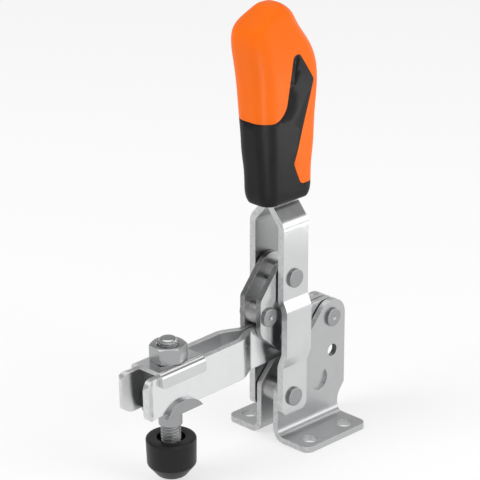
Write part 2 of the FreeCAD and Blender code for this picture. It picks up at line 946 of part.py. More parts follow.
def draw_flap(sketch, foot, top, radius):
    """A folded segment of the disc: its straight foot and its round upper edge."""
    centre_height = top - radius
    drop = (foot - centre_height).value
    half = math.sqrt(radius.value ** 2 - drop ** 2)
    start = Vector(-half, foot.value, 0)
    end = Vector(half, foot.value, 0)
    chord = sketch.addGeometry(Part.LineSegment(start, end), False)
    angle = math.asin(drop / radius.value)
    circle = Part.Circle(Vector(0, centre_height.value, 0), Vector(0, 0, 1), radius.value)
    arc = sketch.addGeometry(Part.ArcOfCircle(circle, angle, math.pi - angle), False)
    sketch.addConstraint(Sketcher.Constraint("Coincident", chord, 2, arc, 1))
    sketch.addConstraint(Sketcher.Constraint("Coincident", chord, 1, arc, 2))
    sketch.addConstraint(Sketcher.Constraint("Horizontal", chord))
    foot_rule = Sketcher.Constraint("DistanceY", chord, 1, foot.value)
    bind(sketch, foot_rule, foot)
    place_point(sketch, arc, 3, corner(0, centre_height))
    radius_rule = Sketcher.Constraint("Radius", arc, radius.value)
    bind(sketch, radius_rule, radius)


def build_nut(label):
    """A hexagon nut with turned-off corners, on top of the saddle washer."""
    body = spindle_body(label)
    seat = size("arm_top") + size("saddle_gauge")
    height = size("nut_height")
    flats = size("nut_flats") / 2
    points = []
    for index in range(6):
        angle = size("nut_turn") + 60 * index
        points.append(corner(cosine(angle) * flats / cosine(as_size(30)), sine(angle) * flats
                             / cosine(as_size(30))))
    sketch = new_sketch(body, "XY", "hexagon", seat)
    draw_loop(sketch, points)
    pad(body, sketch, height)
    drill(body, "XY", "bore", [(as_size(0), as_size(0))], size("thread_round") + size("running_gap"))
    corner_reach = flats / cosine(as_size(30))
    chamfer = size("nut_chamfer")
    slope = corner_reach - flats
    top = seat + height
    upper = [
        corner(corner_reach + MARGIN, top - chamfer * (slope + MARGIN) / slope),
        corner(corner_reach + MARGIN, top + MARGIN),
        corner(flats, top + MARGIN),
        corner(flats, top),
    ]
    before = body.Shape.Volume
    bevel = new_sketch(body, "XZ", "bevel")
    draw_loop(bevel, upper)
    feature = body.newObject("PartDesign::Groove", "hex_nut_bevel_turn")
    feature.Profile = bevel
    feature.ReferenceAxis = (bevel, ["V_Axis"])
    feature.Angle = 360
    doc.recompute()
    check_smaller(body, before, feature)
    return body


cap_top = -(size("arm_bottom") + size("flange_disc_gauge") + size("collar_length")
            + size("cap_clearance"))
cap_foot = cap_top - size("cap_height")
head_foot = cap_foot + size("cap_sole")
head_top = head_foot + size("screw_head_height")


def build_screw(label):
    """The clamping screw: domed end, shank at the thread's size, and its moulded-in head."""
    body = spindle_body(label)
    radius = size("thread_round")
    chamfer = size("screw_chamfer")
    head = size("screw_head_round")
    top = size("screw_top")
    profile = [
        corner(0, head_foot),
        corner(head, head_foot),
        corner(head, head_top),
        corner(radius, head_top),
        corner(radius, top - chamfer),
        corner(radius - chamfer, top),
        corner(0, top),
    ]
    sketch = new_sketch(body, "XZ", "profile")
    draw_loop(sketch, profile)
    turn(body, sketch)
    return body


def build_cap(label):
    """The rubber pressure cap moulded round the screw's head."""
    body = spindle_body(label)
    radius = size("thread_round")
    head = size("screw_head_round")
    edge = size("cap_edge")
    recess = size("cap_recess_round")
    recess_floor = cap_top - size("cap_recess_depth")
    shoulder = cap_top - size("cap_barrel")
    profile = [
        corner(0, cap_foot),
        bulge(size("cap_tip_round") - edge, cap_foot + edge, edge),
        corner(size("cap_round"), shoulder),
        bulge(size("cap_top_round") - edge, cap_top - edge, edge),
        corner(recess, cap_top),
        corner(recess, recess_floor),
        corner(radius, recess_floor),
        corner(radius, head_top),
        corner(head, head_top),
        corner(head, head_foot),
        corner(0, head_foot),
    ]
    sketch = new_sketch(body, "XZ", "profile")
    draw_loop(sketch, profile)
    turn(body, sketch)
    return body


def grip_section(body, name, inset):
    """One level section of the grip: a rectangle with round corners, drawn in by the inset."""
    front = size(f"grip_{name}_front") - inset
    rear = size(f"grip_{name}_rear") + inset
    half = size(f"grip_{name}_half") - inset
    radius = size(f"grip_{name}_round") - inset
    sketch = new_sketch(body, "XY", name, size(f"grip_{name}_level"))
    stations = [
        bulge(front - radius, radius - half, radius),
        bulge(front - radius, half - radius, radius),
        bulge(rear + radius, half - radius, radius),
        bulge(rear + radius, radius - half, radius),
    ]
    draw_loop(sketch, stations)
    return sketch


def build_grip_blank(label, names, inset):
    """The grip's outer form, or the form inside its wall, drawn through level sections."""
    body = new_body(label)
    sketches = [grip_section(body, name, inset) for name in names]
    loft = body.newObject("PartDesign::AdditiveLoft", f"{label}_loft")
    loft.Profile = sketches[0]
    loft.Sections = sketches[1:]
    doc.recompute()
    return body


def build_panel_tool():
    """A block across the grip whose outline bounds the dark lower body and side panels."""
    body = new_body("grip_panel_block")
    low = size("grip_base_level") - MARGIN
    rear = size("grip_heel_rear") - MARGIN
    front = size("grip_brow_front") + MARGIN
    level = size("panel_front_level")
    throat = size("panel_throat_round")
    foot = size("panel_foot_round")
    outline = [
        corner(rear, low),
        corner(front, low),
        corner(front, level),
        hollow(size("panel_throat_x"), level + throat, throat),
        bulge(size("panel_peak_x"), size("panel_peak_z"), size("panel_peak_round")),
        bulge(size("panel_back_x"), size("panel_back_z"), size("panel_back_round")),
        hollow(size("panel_waist_x"), size("panel_waist_z"), size("panel_waist_round")),
        hollow(size("panel_foot_x"), size("panel_foot_level") + foot, foot),
        corner(rear, size("panel_foot_level")),
    ]
    sketch = new_sketch(body, "XZ", "outline")
    draw_loop(sketch, outline)
    pad(body, sketch, (size("grip_shoulder_half") + MARGIN) * 2, both_sides=True)
    return body


def cut(label, base, tool):
    """Take one solid away from another."""
    before = base.Shape.Volume
    feature = doc.addObject("Part::Cut", label)
    feature.Label = label
    feature.Base = base
    feature.Tool = tool
    doc.recompute()
    if feature.Shape.Volume >= before - 1e-6:
        raise RuntimeError(f"{label} removes nothing")
    return feature


def join(kind, label, base, tool):
    """What two solids share, or the two as one."""
    feature = doc.addObject(kind, label)
    feature.Base = base
    feature.Tool = tool
    doc.recompute()
    return feature


def build_grip(handle_plates):
    """The two-part grip: a dark core with its lower body and side panels, and a bright shell."""
    blank = build_grip_blank("grip_blank", GRIP_SECTIONS, as_size(0))
    inner = build_grip_blank("grip_inner", CORE_SECTIONS, size("grip_wall"))
    panel = build_panel_tool()
    hollow_shell = cut("grip_hollow", blank, inner)
    shell = cut("grip_shell", hollow_shell, panel)
    lower_body = join("Part::Common", "grip_lower_body", blank, panel)
    whole_core = join("Part::Fuse", "grip_whole_core", inner, lower_body)
    slotted = cut("grip_slotted", whole_core, handle_plates[0])
    core = cut("grip_core", slotted, handle_plates[1])
    return core, shell


def build_all():
    """Build every piece and return them in the order of assembly."""
    sides = (("left", 1), ("right", -1))
    pieces = []
    for word, side in sides:
        pieces.append(build_base(f"base_{word}", side))
    rivet_seat = handle_outer + size("running_gap")
    head = size("head_height")
    edge = size("head_edge")
    pieces.append(build_bush("base_spacer_bush", handle_x, handle_z, size("spacer_round"),
                             size("shank_round"), base_inner))
    pieces.append(build_rivet("handle_pivot_rivet", handle_x, handle_z, rivet_seat, head,
                              edge))
    pieces.append(build_rivet("arm_pivot_rivet", arm_x, arm_z, base_outer, head, edge,
                              dimpled=True))
    for word, side in sides:
        pieces.append(build_arm(f"arm_{word}", side))
    arm_bush = base_inner - size("side_gap")
    pieces.append(build_bush("arm_pivot_bush", arm_x, arm_z, bush_round, pivot_bore, arm_bush))
    link_bush = link_inner - size("side_gap")
    pieces.append(build_bush("link_pivot_bush", handle_x, link_z, bush_round, pivot_bore, link_bush))
    for word, side in sides:
        pieces.append(build_link(f"link_{word}", side))
    pieces.append(build_rivet("link_pivot_rivet", handle_x, link_z, link_outer,
                              size("flush_head_height"), size("flush_head_edge")))
    pieces.append(build_rivet("stop_rivet", stop_x, stop_z, link_outer, head, edge,
                              dimpled=True))
    pieces.append(build_bush("stop_sleeve", stop_x, stop_z, size("stop_round"),
                             size("shank_round"), link_inner))
    pieces.append(build_bush("link_head_bush", handle_x, crank_z, bush_round, pivot_bore, link_outer))
    plates = []
    for word, side in sides:
        plates.append(build_handle(f"handle_{word}", side))
    pieces.extend(plates)
    for word, side in sides:
        pieces.append(build_side_rivet(f"handle_link_rivet_{word}", side, handle_x, crank_z,
                                       handle_inner, handle_outer, head))
    pieces.extend(build_grip(plates))
    pieces.append(build_saddle("top_saddle_washer"))
    pieces.append(build_flanged_washer("lower_flanged_washer"))
    pieces.append(build_nut("hex_nut"))
    pieces.append(build_screw("clamping_screw"))
    pieces.append(build_cap("rubber_cap"))
    return pieces


def check_document():
    """Stop if any object of the document failed."""
    for item in doc.Objects:
        if "Invalid" in item.State or "Error" in item.State:
            raise RuntimeError(f"{item.Label} failed: {item.State}")


def export(pieces):
    """Check each piece and write it to its own file."""
    os.makedirs("parts", exist_ok=True)
    for piece in pieces:
        shape = piece.Shape
        if shape.isNull() or not shape.isValid() or not shape.Solids:
            raise RuntimeError(f"{piece.Label} has no valid solid")
        shape.exportStep(f"parts/{piece.Label}.step")
        box = shape.BoundBox
        print(f"{piece.Label:26s} {len(shape.Solids)} solid {shape.Volume:10.1f} mm3  "
              f"x {box.XMin:7.2f} {box.XMax:7.2f}  y {box.YMin:7.2f} {box.YMax:7.2f}  "
              f"z {box.ZMin:7.2f} {box.ZMax:7.2f}")


doc.recompute()
all_pieces = build_all()
doc.recompute()
check_document()
export(all_pieces)
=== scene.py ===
import math

import bmesh
import bpy
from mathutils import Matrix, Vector


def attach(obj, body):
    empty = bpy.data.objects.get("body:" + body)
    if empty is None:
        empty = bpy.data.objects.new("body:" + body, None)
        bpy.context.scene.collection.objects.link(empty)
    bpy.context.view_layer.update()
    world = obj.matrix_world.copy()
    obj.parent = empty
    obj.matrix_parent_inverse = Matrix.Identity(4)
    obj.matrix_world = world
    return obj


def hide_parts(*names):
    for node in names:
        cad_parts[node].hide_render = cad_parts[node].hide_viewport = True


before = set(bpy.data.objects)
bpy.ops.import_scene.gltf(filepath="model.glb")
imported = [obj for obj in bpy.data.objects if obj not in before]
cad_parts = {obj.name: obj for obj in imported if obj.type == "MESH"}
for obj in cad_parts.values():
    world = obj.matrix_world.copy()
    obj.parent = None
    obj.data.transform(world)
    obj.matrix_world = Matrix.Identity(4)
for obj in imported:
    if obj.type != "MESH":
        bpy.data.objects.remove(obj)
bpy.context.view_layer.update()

MM = 0.001
FORWARD, SIDEWAYS, UPWARD = (1.0, 0.0, 0.0), (0.0, 1.0, 0.0), (0.0, 0.0, 1.0)
SHARP_ANGLE = math.radians(32)

# Camera: the photograph's view, found from the fixing holes, rivets and plate corners.
CAMERA_PLACE = Vector((0.6712, 0.6342, 0.4472))
CAMERA_BACK = Vector((0.6593, 0.6553, 0.3686))
LENS_MM = 186.56
SENSOR_MM = 36.0

# Spindle: where its axis meets the arm's centre line, its lean, and heights along it from
# there, in millimetres.
SPINDLE_X = 71.8705
SPINDLE_Z = 43.0462
ARM_PITCH = math.radians(1.5)
SCREW_TOP = 18.35
HEAD_TOP = -32.2
HEAD_FOOT = -36.2
CAP_TOP = -24.0
CAP_FOOT = -40.2
NUT_FOOT = 9.35
NUT_TOP = 15.95

# Thread of the screw, in millimetres.
THREAD_PITCH = 1.25
THREAD_CREST = 3.97
THREAD_ROOT = 3.3

# Tones of the zinc plate, from rolled sheet to cold headed rivets.
SHEET = (0.77, 0.775, 0.78)
DULL_SHEET = (0.60, 0.605, 0.61)
TURNED = (0.46, 0.465, 0.47)
HEADED = (0.42, 0.425, 0.43)

# Relief of every finish: its depth, and the round that softens each finish's edges.
RELIEF_DEPTH = 0.08 * MM
STEEL_ROUND = 0.28 * MM
MOULDED_ROUND = 0.3 * MM

# Sockets of the Mix node that take and give colours.
MIX_SHARE, MIX_FIRST, MIX_SECOND, MIX_RESULT = 0, 6, 7, 2

# Studio: the metal mirrors pale walls, brighter ones in one direction, with a soft change
# between them by the share of that direction. Each wall's brightness is given by height,
# from 0 at the horizon and below to 1 straight up.
WHITE = (1.0, 1.0, 1.0, 1.0)
BRIGHT_SIDE = (-0.57, 0.82, 0.0)
BRIGHT_CHANGE = [(0.1, 0.0), (0.5, 1.0)]
BRIGHT_WALL = [(0.0, 0.9), (0.12, 0.95), (0.38, 0.85), (0.48, 0.14), (0.62, 0.1), (0.70, 0.22),
               (0.82, 0.85), (1.0, 1.0)]
DIM_WALLS = [(0.0, 0.3), (0.30, 0.32), (0.44, 0.25), (0.59, 0.13), (0.70, 0.24), (0.82, 0.9),
             (1.0, 1.0)]
WALL_STRENGTH = 1.9
FILL_STRENGTH = 0.62

# Lamps aim at the clamp's middle or its grip, and the strips have a narrow beam.
CLAMP_MIDDLE = (0.03, 0.0, 0.08)
GRIP_MIDDLE = (0.02, 0.0, 0.15)
STRIP_SPREAD = math.radians(24)


# Meshes


def plain_point(x, y, z):
    """A point of the object's frame, from millimetres."""
    return (x * MM, y * MM, z * MM)


def spindle_point(x, y, z):
    """A point of the spindle's own frame, in millimetres, placed in the object's frame."""
    along, up = math.cos(ARM_PITCH), math.sin(ARM_PITCH)
    return plain_point(SPINDLE_X + along * x + up * z, y, SPINDLE_Z - up * x + along * z)


def smooth(mesh):
    """Smooth shading, with edges kept where faces meet at more than a slight angle."""
    mesh.shade_smooth()
    mesh.set_sharp_from_angle(angle=SHARP_ANGLE)


def add_piece(name, points, faces, placed=spindle_point):
    """A smooth mesh object from points in millimetres."""
    mesh = bpy.data.meshes.new(name)
    mesh.from_pydata([placed(*point) for point in points], [], faces)
    mesh.validate()
    form = bmesh.new()
    form.from_mesh(mesh)
    bmesh.ops.recalc_face_normals(form, faces=form.faces)
    form.to_mesh(mesh)
    form.free()
    smooth(mesh)
    piece = bpy.data.objects.new(name, mesh)
    bpy.context.scene.collection.objects.link(piece)
    return piece


def carve(piece, cutter):
    """Cut one mesh out of another for good, and drop the cutter."""
    modifier = piece.modifiers.new("carve", "BOOLEAN")
    modifier.operation = "DIFFERENCE"
    modifier.solver = "EXACT"
    modifier.object = cutter
    bpy.context.view_layer.update()
    seen = piece.evaluated_get(bpy.context.evaluated_depsgraph_get())
    mesh = bpy.data.meshes.new_from_object(seen)
    piece.modifiers.clear()
    piece.data = mesh
    smooth(mesh)
    bpy.data.objects.remove(cutter)


def finish_piece(piece, body, node):
    """The piece rides on a body and stands for a node, whose own solid is hidden."""
    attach(piece, body)
    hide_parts(node)
    return piece


def rings_to_mesh(rings):
    """Points and faces that join closed rings of one size, with a face over each end."""
    count = len(rings[0])
    points = [point for ring in rings for point in ring]
    faces = []
    for level in range(len(rings) - 1):
        low, high = level * count, (level + 1) * count
        for step in range(count):
            after = (step + 1) % count
            faces.append((low + step, low + after, high + after, high + step))
    faces.append(tuple(reversed(range(count))))
    faces.append(tuple(range(len(points) - count, len(points))))
    return points, faces


def turned_rings(profile, count):
    """Rings of a turned form from its (radius, height) profile, bottom up."""
    turns = [math.tau * step / count for step in range(count)]
    return [[(r * math.cos(a), r * math.sin(a), z) for a in turns] for r, z in profile]


def arc(centre_r, centre_z, radius, start, end, steps):
    """Profile points along a round, by angle in degrees."""
    angles = [math.radians(start + (end - start) * i / steps) for i in range(steps + 1)]
    return [(centre_r + radius * math.cos(a), centre_z + radius * math.sin(a)) for a in angles]


def thread_mesh(foot, turns, steps):
    """A rolled thread: one band wound up the screw, its turns joined, and a fan at each end.

    The band's form is given by radius and by share of the pitch.
    """
    root_end, crest_start, crest_end = 0.2, 0.56, 0.72
    form = [(THREAD_ROOT, 0.0), (THREAD_ROOT, root_end), (THREAD_CREST, crest_start),
            (THREAD_CREST, crest_end)]
    size = len(form)
    last = (turns + 1) * steps - 1
    points = []
    for column in range(last + 1):
        angle = math.tau * column / steps
        lift = foot + THREAD_PITCH * column / steps
        for radius, share in form:
            points.append((radius * math.cos(angle), radius * math.sin(angle),
                           lift + share * THREAD_PITCH))
    faces = []
    for column in range(last):
        here, after = column * size, (column + 1) * size
        for part in range(size - 1):
            faces.append((here + part, after + part, after + part + 1, here + part + 1))
        over = here + steps * size
        if column + steps < last:
            faces.append((here + size - 1, after + size - 1, over + size, over))
    low_rim = [column * size for column in range(steps + 1)]
    low_rim += reversed(range(1, size))
    high_rim = [column * size + size - 1 for column in range(last - steps, last + 1)]
    high_rim += [last * size + part for part in reversed(range(size - 1))]
    inset = 0.6
    for rim, height in ((low_rim[::-1], foot + inset), (high_rim, lift + inset)):
        points.append((0.0, 0.0, height))
        for first, second in zip(rim, rim[1:] + rim[:1]):
            faces.append((first, second, len(points) - 1))
    return points, faces


def make_screw():
    """The threaded spindle: rolled thread, rounded point and the head inside the cap."""
    steps = 48
    head, head_edge, core = 6.5, 0.2, 3.32
    point, point_length, point_round, point_centre = 3.8, 1.35, 1.15, 2.45
    turns = int((SCREW_TOP - point_length - HEAD_TOP) / THREAD_PITCH) - 1
    points, faces = thread_mesh(HEAD_TOP, turns, steps)
    profile = [(0.6, HEAD_FOOT), (head - head_edge, HEAD_FOOT), (head, HEAD_FOOT + head_edge),
               (head, HEAD_TOP - head_edge), (head - head_edge, HEAD_TOP), (core, HEAD_TOP),
               (core, SCREW_TOP - 1.9), (point, SCREW_TOP - 1.6), (point, SCREW_TOP - 1.1)]
    profile += arc(point_centre, SCREW_TOP - point_round, point_round, 12, 90, 6)
    profile += [(1.4, SCREW_TOP), (0.3, SCREW_TOP)]
    core_points, core_faces = rings_to_mesh(turned_rings(profile, steps))
    shift = len(points)
    faces += [tuple(corner + shift for corner in face) for face in core_faces]
    screw = add_piece("threaded_spindle", points + core_points, faces)
    return finish_piece(screw, "spindle", "clamping_screw")


def make_cap():
    """The moulded rubber cap: recessed top, rounded rim, drafted barrel and blunt cone."""
    sole, cone_round = 5.0, 1.6
    barrel_foot, barrel_depth = 9.75, 10.6
    rim, rim_round = 10.0, 1.0
    recess, recess_round, recess_depth = 5.65, 0.35, 3.0
    bore = 4.02
    profile = [(0.5, CAP_FOOT + 0.25), (sole - 0.4, CAP_FOOT + 0.1)]
    profile += arc(sole, CAP_FOOT + cone_round, cone_round, -88, -38, 6)
    profile += arc(barrel_foot - cone_round, CAP_TOP - barrel_depth, cone_round, -32, -2, 5)
    profile += arc(rim - rim_round, CAP_TOP - rim_round, rim_round, 0, 90, 7)
    profile += arc(recess + recess_round, CAP_TOP - recess_round, recess_round, 90, 180, 4)
    profile += [(recess - 0.05, CAP_TOP - recess_depth + 0.3),
                (recess - recess_round, CAP_TOP - recess_depth),
                (bore + 0.03, CAP_TOP - recess_depth - 0.05), (bore, HEAD_TOP)]
    cap = add_piece("moulded_cap", *rings_to_mesh(turned_rings(profile, 96)))
    return finish_piece(cap, "spindle", "rubber_cap")


def make_nut():
    """The hexagon nut, with turned corners above and below and a countersunk thread."""
    count = 144
    flat, corner, chamfer_start, bore = 6.5, 7.42, 6.42, 4.05
    chamfer = math.tan(math.radians(25))
    foot_sink, foot_sink_depth, top_sink, top_sink_depth = 0.45, 0.5, 0.65, 0.6
    side, turned_by = math.radians(60), math.radians(50)
    turns = [math.tau * step / count for step in range(count)]
    reaches = [min(flat / math.cos((turn + side / 2) % side - side / 2), corner)
               for turn in turns]

    def ring(height, radius=None, slope=0.0):
        """A round ring, or with no radius one along the six sides that slopes at the corners."""
        points = []
        for turn, reach in zip(turns, reaches):
            angle, out = turn + turned_by, radius or reach
            points.append((out * math.cos(angle), out * math.sin(angle),
                           height + max(0.0, reach - chamfer_start) * slope))
        return points

    rings = [
        ring(NUT_FOOT + foot_sink_depth, bore),
        ring(NUT_FOOT, bore + foot_sink),
        ring(NUT_FOOT, chamfer_start),
        ring(NUT_FOOT, slope=chamfer),
        ring(NUT_TOP, slope=-chamfer),
        ring(NUT_TOP, chamfer_start),
        ring(NUT_TOP, bore + top_sink),
        ring(NUT_TOP - top_sink_depth, bore),
    ]
    points, faces = rings_to_mesh(rings)
    top = len(points) - count
    bore_faces = [(top + step, top + (step + 1) % count, (step + 1) % count, step)
                  for step in range(count)]
    nut = add_piece("turned_nut", points, faces[:-2] + bore_faces)
    return finish_piece(nut, "carriage", "hex_nut")


def make_saddle():
    """The folded washer over the arm: a strip with round folds, and the screw's bore."""
    gauge, half_length = 1.8, 11.5
    side, top, hem = 8.85, 9.35, 2.95
    fold, fold_steps = 2.8, 10
    corner_round, corner_steps = 1.0, 4
    bore, bore_steps = 4.3, 64
    lift, across = top - fold, side - fold
    outer = [(side, hem + corner_round * step / corner_steps, 1.0, 0.0)
             for step in range(corner_steps + 1)]
    outer.append((side, lift, 1.0, 0.0))
    for step in range(1, fold_steps):
        angle = math.pi / 2 * step / fold_steps
        outer.append((across + fold * math.cos(angle), lift + fold * math.sin(angle),
                      math.cos(angle), math.sin(angle)))
    outer.append((across, top, 0.0, 1.0))
    outer += [(-y, z, -ny, nz) for y, z, ny, nz in reversed(outer)]
    rings = []
    for y, z, ny, nz in outer:
        short = max(0.0, corner_round - (z - hem))
        reach = half_length - corner_round + math.sqrt(corner_round ** 2 - short ** 2)
        inner_y, inner_z = y - ny * gauge, z - nz * gauge
        rings.append([(-reach, y, z), (reach, y, z), (reach, inner_y, inner_z),
                      (-reach, inner_y, inner_z)])
    saddle = add_piece("folded_saddle", *rings_to_mesh(rings))
    drill = turned_rings([(bore, top - 5.0), (bore, top + 1.0)], bore_steps)
    carve(saddle, add_piece("saddle_bore", *rings_to_mesh(drill)))
    return finish_piece(saddle, "carriage", "top_saddle_washer")


def make_core():
    """The dark grip body: its solid, with the narrow groove sunk in both side panels."""
    core = bpy.data.objects.new("grooved_core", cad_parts["grip_core"].data.copy())
    bpy.context.scene.collection.objects.link(core)
    head, foot, half_width = Vector((11.9, 162.0)), Vector((13.3, 152.2)), 0.62
    groove_floor, outside = 9.45, 12.0
    end_steps = 8
    lean = math.atan2(foot.y - head.y, foot.x - head.x)
    outline = []
    for centre, start in ((head, lean + math.pi / 2), (foot, lean - math.pi / 2)):
        for step in range(end_steps + 1):
            angle = start + math.pi * step / end_steps
            outline.append((centre.x + half_width * math.cos(angle),
                            centre.y + half_width * math.sin(angle)))
    for side in (1, -1):
        rings = [[(x, side * y, z) for x, z in outline] for y in (groove_floor, outside)]
        carve(core, add_piece("groove", *rings_to_mesh(rings), placed=plain_point))
    return finish_piece(core, "handle", "grip_core")


# Materials


class Tree:
    """A node tree, with short calls that add and join nodes."""

    def __init__(self, tree):
        self.tree = tree

    def feed(self, target, source):
        """Join a socket, or write a plain number or vector."""
        if isinstance(source, bpy.types.NodeSocket):
            self.tree.links.new(source, target)
        else:
            target.default_value = source

    def add(self, kind, inputs=None, **settings):
        """A new node with its settings, and with its inputs joined or written."""
        node = self.tree.nodes.new(kind)
        for key, value in settings.items():
            setattr(node, key, value)
        for socket, source in (inputs or {}).items():
            self.feed(node.inputs[socket], source)
        return node

    def maths(self, operation, first, second=0.0):
        node = self.add("ShaderNodeMath", {0: first, 1: second}, operation=operation)
        return node.outputs["Value"]

    def plus(self, first, second):
        return self.maths("ADD", first, second)

    def times(self, first, second):
        return self.maths("MULTIPLY", first, second)

    def opposite(self, source):
        """1 where the source is 0, and 0 where it is 1."""
        return self.maths("SUBTRACT", 1.0, source)

    def dot(self, vector, direction):
        """A vector's length along a direction."""
        node = self.add("ShaderNodeVectorMath", {0: vector, 1: direction},
                        operation="DOT_PRODUCT")
        return node.outputs["Value"]

    def ramp(self, source, stops):
        """Colours by place along 0..1."""
        node = self.add("ShaderNodeValToRGB", {"Fac": source})
        ends = node.color_ramp.elements
        while len(ends) < len(stops):
            ends.new(0.5)
        for element, (place, color) in zip(ends, stops):
            element.position = place
            element.color = (*color, 1.0)
        return node.outputs["Color"]

    def greys(self, source, levels):
        """Greys by place along 0..1."""
        return self.ramp(source, [(place, (level, level, level)) for place, level in levels])

    def blend(self, share, first, second):
        """Mix two colours."""
        node = self.add("ShaderNodeMix", {MIX_SHARE: share, MIX_FIRST: first, MIX_SECOND: second},
                        data_type="RGBA")
        return node.outputs[MIX_RESULT]

    def mix(self, share, first, second):
        """Mix two shaders."""
        return self.add("ShaderNodeMixShader", {0: share, 1: first, 2: second}).outputs["Shader"]


class Finish(Tree):
    """A material's node tree, built around its one surface shader."""

    def __init__(self, name):
        self.material = bpy.data.materials.new(name)
        self.material.use_nodes = True
        super().__init__(self.material.node_tree)
        self.shader = self.tree.nodes["Principled BSDF"]
        coordinates = self.add("ShaderNodeTexCoord").outputs
        self.place = coordinates["Object"]
        self.normal = coordinates["Normal"]

    def give(self, inputs):
        """Join or write the surface shader's own sockets."""
        for socket, source in inputs.items():
            self.feed(self.shader.inputs[socket], source)

    def noise(self, scale, detail, roughness):
        node = self.add("ShaderNodeTexNoise", {"Vector": self.place, "Scale": scale,
                                               "Detail": detail, "Roughness": roughness})
        return node.outputs["Fac"]

    def spread(self, source, low, high):
        """Map 0..1 onto low..high."""
        node = self.add("ShaderNodeMapRange", {"Value": source, "To Min": low, "To Max": high})
        return node.outputs["Result"]

    def step(self, source, low, high):
        """A soft step from 0 below low to 1 above high."""
        node = self.add("ShaderNodeMapRange", {"Value": source, "From Min": low, "From Max": high},
                        interpolation_type="SMOOTHSTEP")
        return node.outputs["Result"]

    def facing(self, direction):
        """1 where the surface looks along a direction or against it, 0 where it looks across."""
        across, along = 0.5, 0.8
        return self.step(self.maths("ABSOLUTE", self.dot(self.normal, direction)), across, along)

    def relief(self, height, strength, edge_round):
        """Surface relief over softened edges."""
        edges = self.add("ShaderNodeBevel", {"Radius": edge_round}, samples=6)
        bump = self.add("ShaderNodeBump", {"Strength": strength, "Distance": RELIEF_DEPTH,
                                           "Height": height, "Normal": edges.outputs["Normal"]})
        self.give({"Normal": bump.outputs["Normal"]})


def shade(tone, share):
    return tuple(channel * share for channel in tone)


def sheared_edges(nodes, lie):
    """1 on a plate's sheared edges and 0 on its rolled faces, by the way the face looks.

    A "flat" plate's rolled faces look sideways, a bent "strip" has its edges in front and
    behind, and an "angle" is flat above its bend and a strip below it.
    """
    off_side = nodes.opposite(nodes.facing(SIDEWAYS))
    fore_aft = nodes.facing(FORWARD)
    if lie == "flat":
        return off_side
    if lie == "strip":
        return fore_aft
    bend_low, bend_high = 8 * MM, 9 * MM
    above_bend = nodes.step(nodes.dot(nodes.place, UPWARD), bend_low, bend_high)
    return nodes.maths("MAXIMUM", fore_aft, nodes.times(off_side, above_bend))


def inward_shade_mask(nodes):
    """1 on a plate's face towards the clamp's middle plane, and 0 elsewhere.

    There the face looks one way and lies the other, so the product of the two is below 0.
    plated_steel paints shade on this face, where the plates shade each other.
    """
    leaning = nodes.dot(nodes.normal, SIDEWAYS)
    beside = nodes.dot(nodes.place, SIDEWAYS)
    inward, not_inward = -0.4 * MM, -0.1 * MM
    return nodes.opposite(nodes.step(nodes.times(leaning, beside), inward, not_inward))


def plated_steel(name, tone, rough, lie=None, edge_tone=None, uneven=0.12, inside=0.83):
    """Bright zinc plate: fine grain, faint clouds, and duller mottled metal where it was cut.

    The lie is that of sheared_edges, or None where nothing was sheared. The mottling grows
    with uneven, and inside is how much of the tone a plate's inward face keeps under the
    painted shade between the plates.
    """
    nodes = Finish(name)
    cloud = nodes.noise(scale=70.0, detail=6.0, roughness=0.65)
    cloud_low, cloud_high, cloud_shade, cloud_rough = 0.32, 0.68, 0.94, 0.06
    grain = nodes.noise(scale=1400.0, detail=3.0, roughness=0.6)
    color = nodes.ramp(cloud, [(cloud_low, shade(tone, cloud_shade)), (cloud_high, tone)])
    gloss = nodes.spread(cloud, rough - cloud_rough, rough + cloud_rough)
    height = grain
    if lie:
        edge, inner_shade = sheared_edges(nodes, lie), inward_shade_mask(nodes)
        edge_rough, inner_rough, edge_relief = 0.09, 0.12, 6.0
        mottle = nodes.noise(scale=620.0, detail=5.0, roughness=0.7)
        cut = nodes.ramp(mottle, [(0.36, shade(edge_tone, 1.0 - uneven)), (0.5, edge_tone),
                                  (0.66, shade(edge_tone, 1.0 + uneven))])
        # Painted shade: each plate's inward face, between the plates, darkened to the share
        # inside.
        painted_inner_shade = nodes.ramp(cloud, [(cloud_low, shade(tone, inside * 0.96)),
                                         (cloud_high, shade(tone, inside * 1.04))])
        color = nodes.blend(edge, nodes.blend(inner_shade, color, painted_inner_shade), cut)
        gloss = nodes.plus(gloss, nodes.times(edge, edge_rough))
        gloss = nodes.plus(gloss, nodes.times(inner_shade, inner_rough))
        height = nodes.plus(grain, nodes.times(edge, nodes.times(mottle, uneven * edge_relief)))
    nodes.give({"Metallic": 1.0, "Base Color": color, "Roughness": gloss})
    nodes.relief(height, strength=0.04, edge_round=STEEL_ROUND)
    return nodes.material


def moulded_plastic(name, tone, rough, pores, depth, shine):
    """Moulded plastic or rubber with a fine spark-eroded texture, pores to the metre."""
    nodes = Finish(name)
    cloud = nodes.noise(scale=45.0, detail=3.0, roughness=0.5)
    fine = nodes.noise(scale=pores, detail=3.0, roughness=0.6)
    nodes.give({"Specular IOR Level": shine,
                "Base Color": nodes.ramp(cloud, [(0.3, shade(tone, 0.95)), (0.7, tone)]),
                "Roughness": nodes.spread(fine, rough - 0.05, rough + 0.06)})
    nodes.relief(fine, strength=depth, edge_round=MOULDED_ROUND)
    return nodes.material


def coat(piece, material):
    """One material on a piece, in place of any that it had."""
    piece.data.materials.clear()
    piece.data.materials.append(material)


def dress(names, material):
    """One material on solids that keep their own meshes."""
    for name in names:
        coat(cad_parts[name], material)


